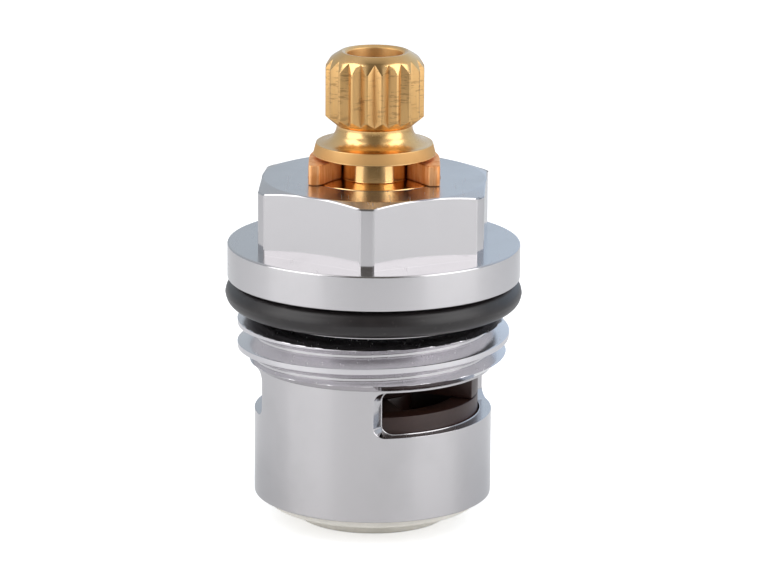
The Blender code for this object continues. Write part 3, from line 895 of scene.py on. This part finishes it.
# copies of CAD nodes that only get soft edges: node, body, slot, width of the edge
softened = {
    "moving_disc_body": ("moving_disc", "spindle", "brown_ceramic", 0.06),
    "fixed_disc_body": ("fixed_disc", "housing", "brown_ceramic", 0.06),
    "lower_seal_body": ("lower_seal", "housing", "white_rubber", 0.08),
}
for name, (node, body, slotName, width) in softened.items():
    piece = copyOfNode(name, node)
    softEdges(piece, width, segments=3)
    smooth(piece, 30)
    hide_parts(node)
    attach(piece, body)
    dress(piece, slotName)


clip = {
    "bottom": 26.55, "top": 28.08, "halfWidth": 4.95, "backReach": 6.15, "throat": 2.6, "throatFrom": -18,
    "armLength": 3.3, "flare": [(2.9, -1.35), (3.3, -1.95), (3.62, -2.55)], "mouth": 4.12,
    "corner": 0.28, "edge": 0.1, "steps": 28,
}


def makeClip():
    # a horseshoe, its outline drawn from the right arm's end round the back
    c = clip
    steps = c["steps"]
    rightEnd = [(c["halfWidth"] - c["corner"] * (1 - math.cos(math.radians(angle))),
                 -c["armLength"] + c["corner"] * (1 - math.sin(math.radians(angle))))
                for angle in (90, 60, 30, 0)]
    back = [(c["halfWidth"] * math.cos(math.pi * step / steps),
             c["backReach"] * math.sin(math.pi * step / steps)) for step in range(steps + 1)]
    leftEnd = [(-x, y) for x, y in reversed(rightEnd)]
    rightFlare = c["flare"] + [(c["mouth"], -c["armLength"])]
    leftFlare = [(-x, y) for x, y in reversed(rightFlare)]
    throat = []
    for step in range(steps + 1):
        point = polar(c["throat"], 180 - c["throatFrom"] + (2 * c["throatFrom"] - 180) * step / steps)
        throat.append((point.x, point.y))
    outline = rightEnd + back + leftEnd + leftFlare + throat + rightFlare
    piece = drawPath("clip_body", [Vector((x, y, c["bottom"])) for x, y in outline])
    toEdit()
    bpy.ops.mesh.select_all(action="SELECT")
    bpy.ops.mesh.edge_face_add()
    bpy.ops.mesh.extrude_region_move(
        TRANSFORM_OT_translate={"value": (0, 0, (c["top"] - c["bottom"]) * mm)})
    toObject()
    cleanMesh(piece)
    softEdges(piece, c["edge"], segments=3)
    smooth(piece, 30)
    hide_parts("retaining_clip")
    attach(piece, "spindle")
    dress(piece, "bronze")


makeClip()

# hidden pieces that stay as their CAD nodes are
kept = {
    "friction_washer": "white_plastic", "seal_support_ring": "grey_plastic",
    "upper_spindle_o_ring": "black_rubber", "lower_spindle_o_ring": "black_rubber",
}
for node, slotName in kept.items():
    dress(frame["nodes"][node], slotName)
print("softened copies made")


flangeRing = {
    "centreRadius": 10.245, "level": 17.655, "section": 2.15, "seam": 0.02, "seamWidth": 0.05,
    "sides": 64, "columns": 192,
}


def makeFlangeRing():
    r = flangeRing
    half = r["section"] / 2
    profile = []
    for step in range(r["sides"]):
        angle = math.tau * step / r["sides"]
        # a mould seam stands a little proud at the ring's widest and narrowest
        seam = r["seam"] * max(0.0, 1 - abs(math.sin(angle)) / r["seamWidth"])
        profile.append(Vector((r["centreRadius"] + (half - r["seam"] + seam) * math.cos(angle),
                               r["level"] + (half - r["seam"]) * math.sin(angle))))
    ring = drawLine("flange_ring", profile)
    toEdit()
    bpy.ops.mesh.select_all(action="SELECT")
    bpy.ops.mesh.spin(steps=r["columns"], angle=math.tau, center=(0, 0, 0), axis=(0, 0, 1))
    toObject()
    cleanMesh(ring)
    smooth(ring, 60)
    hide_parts("flange_o_ring")
    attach(ring, "housing")
    dress(ring, "black_rubber")


makeFlangeRing()
print("flange O-ring made")


view = {
    "target": (0.795, 0, 17.83), "distance": 330.0, "elevation": 14.26, "roll": 0.391,
    "lens": 202.6, "sensor": 36, "near": 0.01,
}
elevation, roll = math.radians(view["elevation"]), math.radians(view["roll"])
forward = Vector((0, math.cos(elevation), -math.sin(elevation)))
right, up = Vector((1, 0, 0)), Vector((0, math.sin(elevation), math.cos(elevation)))
cameraX = math.cos(roll) * right + math.sin(roll) * up
cameraY = -math.sin(roll) * right + math.cos(roll) * up
place = (Vector(view["target"]) - forward * view["distance"]) * mm
cameraData = bpy.data.cameras.new("camera")
cameraData.lens = view["lens"]
cameraData.sensor_width = view["sensor"]
cameraData.clip_start = view["near"]
camera = bpy.data.objects.new("camera", cameraData)
bpy.context.scene.collection.objects.link(camera)
camera.matrix_world = Matrix((
    (cameraX.x, cameraY.x, -forward.x, place.x),
    (cameraX.y, cameraY.y, -forward.y, place.y),
    (cameraX.z, cameraY.z, -forward.z, place.z),
    (0, 0, 0, 1),
))
bpy.context.scene.camera = camera

studio = {
    "floorRadius": 1.6, "floorColour": (0.84, 0.84, 0.84), "floorRoughness": 0.5, "floorSheen": 0.28,
    "backdropGlow": 0.5, "reflectedGlow": 0.03,
    "wall": (0.60, 0.60, 0.61), "backLeft": (0.55, 0.605, 0.65), "backRight": (0.69, 0.81, 0.95),
    "backMix": 0.05, "backBand": (-0.2, 0.7), "zenith": (0.70, 0.70, 0.71), "zenithBand": (0.35, 0.95),
    # the unlit gap between the softboxes: wide behind the camera, narrow overhead
    "cameraSide": (0.20, 0.19, 0.175), "gapSlant": 0.28, "gapBand": (0.42, 0.56), "gapDepth": (0.1, 0.5),
    "gapFoot": (0.0, 0.1),
    "aim": (0, 0, 15),
    "lamps": [
        # name, place, size across and up, watts
        ("left_softbox", (-130, -66, 63), (135, 98), 0.075),
        ("right_softbox", (130, -66, 63), (135, 98), 0.080),
        ("left_overhead", (-148, -24, 212), (145, 145), 0.128),
        ("right_overhead", (148, -24, 212), (145, 145), 0.128),
    ],
}


def makeFloor():
    deselectAll()
    bpy.ops.mesh.primitive_circle_add(
        vertices=96, radius=studio["floorRadius"], fill_type="NGON", location=(0, 0, 0))
    floor = bpy.context.object
    floor.name = "floor"
    material, desk = newDesk("floor")
    rays = desk.tree.nodes.new("ShaderNodeLightPath").outputs
    reflected = Value(desk, rays["Is Glossy Ray"]) + Value(desk, rays["Is Transmission Ray"])
    seen = Value(desk, rays["Is Camera Ray"]) * studio["backdropGlow"] + reflected * studio["reflectedGlow"]
    desk.finish(desk.node("ShaderNodeBsdfPrincipled", inputs={
        "Base Color": colour(*studio["floorColour"]), "Roughness": studio["floorRoughness"],
        "Specular IOR Level": studio["floorSheen"],
        "Emission Color": colour(1, 1, 1), "Emission Strength": seen}))
    floor.data.materials.append(material)


def makeWorld():
    world = bpy.data.worlds.new("studio")
    bpy.context.scene.world = world
    desk = Desk(world)
    s = studio
    x, y, z = desk.split(desk.node("ShaderNodeTexCoord", output="Generated"))
    side = desk.fade(x, -s["backMix"], s["backMix"])
    back = desk.blend(side, colour(*s["backLeft"]), colour(*s["backRight"]))
    low = desk.blend(desk.fade(y, *s["backBand"]), colour(*s["wall"]), back)
    sky = desk.blend(desk.fade(z, *s["zenithBand"]), low, colour(*s["zenith"]))
    aside = desk.node("ShaderNodeMath", {"operation": "ABSOLUTE"}, {0: x}) + z * s["gapSlant"]
    gap = (desk.fade(aside, *s["gapBand"], 1.0, 0.0) * desk.fade(y, *s["gapDepth"], 1.0, 0.0)
           * desk.fade(z, *s["gapFoot"]))
    shade = desk.blend(gap, sky, colour(*s["cameraSide"]))
    background = desk.node("ShaderNodeBackground", inputs={"Color": shade, "Strength": 1.0})
    desk.tree.links.new(background.socket, desk.tree.nodes.new("ShaderNodeOutputWorld").inputs[0])


makeFloor()
makeWorld()
for lampName, spot, size, power in studio["lamps"]:
    lampData = bpy.data.lights.new(lampName, "AREA")
    lampData.shape = "RECTANGLE"
    lampData.size, lampData.size_y = size[0] * mm, size[1] * mm
    lampData.energy = power
    lamp = bpy.data.objects.new(lampName, lampData)
    bpy.context.scene.collection.objects.link(lamp)
    lamp.visible_camera = False
    lamp.location = Vector(spot) * mm
    lamp.rotation_euler = (Vector(studio["aim"]) - Vector(spot)).to_track_quat("-Z", "Y").to_euler()
bpy.context.scene.view_settings.view_transform = "Standard"
print("floor, room and lamps set")
